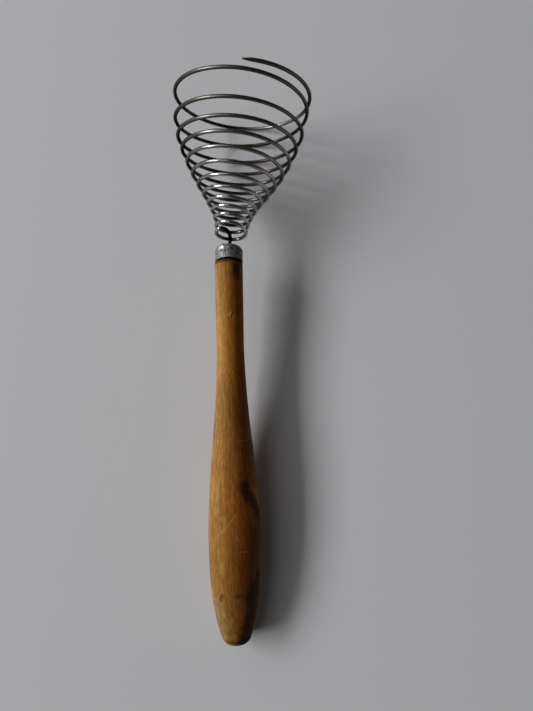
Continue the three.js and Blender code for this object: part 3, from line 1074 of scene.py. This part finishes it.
def wire_finish():
    """Tinned wire: bright by the neck, rubbed bare outside, black inside, and brown in stretches."""
    material, tree, shader = new_finish("tinned_wire")
    place = handle_place(tree)
    distance = unrolled(tree, place)[1]
    film = grain(tree, place, scale=0.16, detail=3.0, rough=0.6)
    rust = grain(tree, place, scale=0.30, detail=4.0, rough=0.65)
    speck = grain(tree, place, scale=2.4, detail=2.0)
    along = tree.nodes.new("ShaderNodeAttribute")
    along.attribute_name = "along"
    length = along.outputs["Fac"]
    height = calc(tree, "MULTIPLY", distance, -1.0)
    height = plus(tree, height, calc(tree, "SUBTRACT", film, NOISE_MIDDLE), BRIGHT_DRIFT)
    bright = fade(tree, height, BRIGHT_FROM, BRIGHT_TO)
    outside = coil_outside(tree)
    bare = plus(tree, BARE_LEAST, fade(tree, outside, *BARE_SIDE), 1.0 - BARE_LEAST)
    metal = mixed(tree, fade(tree, outside, *RUBBED_SIDE), WIRE_BLACK, WIRE_RUBBED)
    metal = mixed(tree, all_of(tree, bright, bare), metal, WIRE_BRIGHT)
    tarnish = all_of(
        tree,
        fade(tree, rust, *TARNISH_LEVELS),
        fade(tree, speck, *TARNISH_SPECKS),
        calc(tree, "SUBTRACT", 1.0, bright),
        fade(tree, outside, *TARNISH_SIDE),
    )
    metal = laid_over(tree, metal, WIRE_BROWN, tarnish, TARNISH_SHOW)
    scoured = all_of(tree, fade(tree, length, *SCOURED_FROM), fade(tree, length, *SCOURED_TO))
    metal = laid_over(tree, metal, WIRE_BRIGHT, scoured, SCOURED_SHOW)
    metal = mixed(tree, fade(tree, length, CROOK_FROM, CROOK_FROM + CROOK_FADE), metal, WIRE_SOOT)
    metal = mixed(tree, fade(tree, length, *CUT_END), metal, WIRE_CUT)
    tree.links.new(metal, shader.inputs["Base Color"])
    shader.inputs["Metallic"].default_value = 1.0
    shader.inputs["Specular Tint"].default_value = WIRE_EDGE
    rough = plus(tree, plus(tree, WIRE_ROUGHNESS, bright, -BRIGHT_GLOSS), film, FILM_ROUGHNESS)
    tree.links.new(rough, shader.inputs["Roughness"])
    tree.links.new(relief(tree, speck, WIRE_RELIEF), shader.inputs["Normal"])
    return material


# Stage

FLOOR_RADIUS = 1.6
FLOOR_SIDES = 128
FLOOR_COLOUR = (0.62, 0.62, 0.64, 1.0)
FLOOR_ROUGHNESS = 0.9
FLOOR_SHEEN = 0.1
CAMERA_FROM_SHOULDER = (0.01951, -0.08137, 0.20787)
CAMERA_DOWN = 78.5
CAMERA_TURN = 6.69
CAMERA_ROLL = 8.4
FOCAL_PIXELS = 534.0
LONG_SIDE_PIXELS = 711.0
SENSOR_WIDTH = 36.0
NEAR_CLIP = 0.01
# Lamps, all on the left: name, height and turn in degrees, width and height in metres, level
LAMPS = (
    ("window", 34.5, 2.0, 2.5, 0.90, 0.82),
    ("upper_window", 58.0, 2.0, 2.25, 1.88, 0.12),
    ("far_window", 30.0, 52.0, 2.50, 0.90, 0.08),
)
LAMP_DISTANCE = 3.0
SKY_LEVEL = 0.03
HORIZON_LEVEL = 0.16
HORIZON_REACH = 0.45


def lay_floor(height):
    """A plain pale floor that the lowest point of the whisk touches."""
    bm = bmesh.new()
    bmesh.ops.create_circle(bm, cap_ends=True, segments=FLOOR_SIDES, radius=FLOOR_RADIUS)
    bmesh.ops.translate(bm, verts=bm.verts, vec=(0.0, 0.0, height))
    mesh = bpy.data.meshes.new("floor")
    bm.to_mesh(mesh)
    bm.free()
    material, _, shader = new_finish("plain_floor")
    shader.inputs["Base Color"].default_value = FLOOR_COLOUR
    shader.inputs["Roughness"].default_value = FLOOR_ROUGHNESS
    shader.inputs["Specular IOR Level"].default_value = FLOOR_SHEEN
    mesh.materials.append(material)
    floor = bpy.data.objects.new("floor", mesh)
    bpy.context.scene.collection.objects.link(floor)


def set_camera():
    data = bpy.data.cameras.new("camera")
    data.sensor_width = SENSOR_WIDTH
    data.lens = SENSOR_WIDTH * FOCAL_PIXELS / LONG_SIDE_PIXELS
    data.clip_start = NEAR_CLIP
    camera = bpy.data.objects.new("camera", data)
    bpy.context.scene.collection.objects.link(camera)
    heading = Matrix.Rotation(math.radians(CAMERA_TURN), 4, "Z")
    tilt = Matrix.Rotation(math.radians(90.0 - CAMERA_DOWN), 4, "X")
    roll = Matrix.Rotation(-math.radians(CAMERA_ROLL), 4, "Z")
    standing = Matrix.Translation(shoulder + Vector(CAMERA_FROM_SHOULDER))
    camera.matrix_world = standing @ heading @ tilt @ roll
    bpy.context.scene.camera = camera


def hang_lamp(name, height, turn, width, tall, level):
    """A soft rectangular lamp that faces the whisk. At level 1, what faces it is as bright as its colour."""
    lamp = bpy.data.lights.new(name, "AREA")
    lamp.shape = "RECTANGLE"
    lamp.size = width
    lamp.size_y = tall
    lamp.energy = level * math.pi**2 * LAMP_DISTANCE**2
    lantern = bpy.data.objects.new(name, lamp)
    bpy.context.scene.collection.objects.link(lantern)
    rise, swing = math.radians(height), math.radians(turn)
    level_reach = math.cos(rise)
    towards = Vector((-level_reach * math.cos(swing), level_reach * math.sin(swing), math.sin(rise)))
    lantern.location = towards * LAMP_DISTANCE
    lantern.rotation_euler = towards.to_track_quat("Z", "Y").to_euler()


def set_sky():
    """A dim sky that is a little paler near the horizon."""
    world = bpy.data.worlds.new("sky")
    world.use_nodes = True
    tree = world.node_tree
    direction = tree.nodes.new("ShaderNodeTexCoord")
    parts = tree.nodes.new("ShaderNodeSeparateXYZ")
    tree.links.new(direction.outputs["Generated"], parts.inputs[0])
    level = tree.nodes.new("ShaderNodeMapRange")
    level.interpolation_type = "SMOOTHSTEP"
    tree.links.new(parts.outputs["Z"], level.inputs["Value"])
    level.inputs["From Max"].default_value = HORIZON_REACH
    level.inputs["To Min"].default_value = HORIZON_LEVEL
    level.inputs["To Max"].default_value = SKY_LEVEL
    background = tree.nodes["Background"]
    background.inputs["Color"].default_value = (1.0, 1.0, 1.0, 1.0)
    tree.links.new(level.outputs["Result"], background.inputs["Strength"])
    bpy.context.scene.world = world


# Putting it together

scene = bpy.context.scene
scene.view_settings.view_transform = "Standard"
set_camera()
set_sky()
for lamp in LAMPS:
    hang_lamp(*lamp)

handle = turn_handle(wood_finish())
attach(handle, "handle")
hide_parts("wooden_handle")

ferrule = press_ferrule(tin_finish())
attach(ferrule, "handle")
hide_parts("ferrule")

wire = wind_wire(wire_finish())
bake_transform(wire)
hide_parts("wire_coil")

shown_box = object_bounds()
lay_floor(shown_box[0][2])
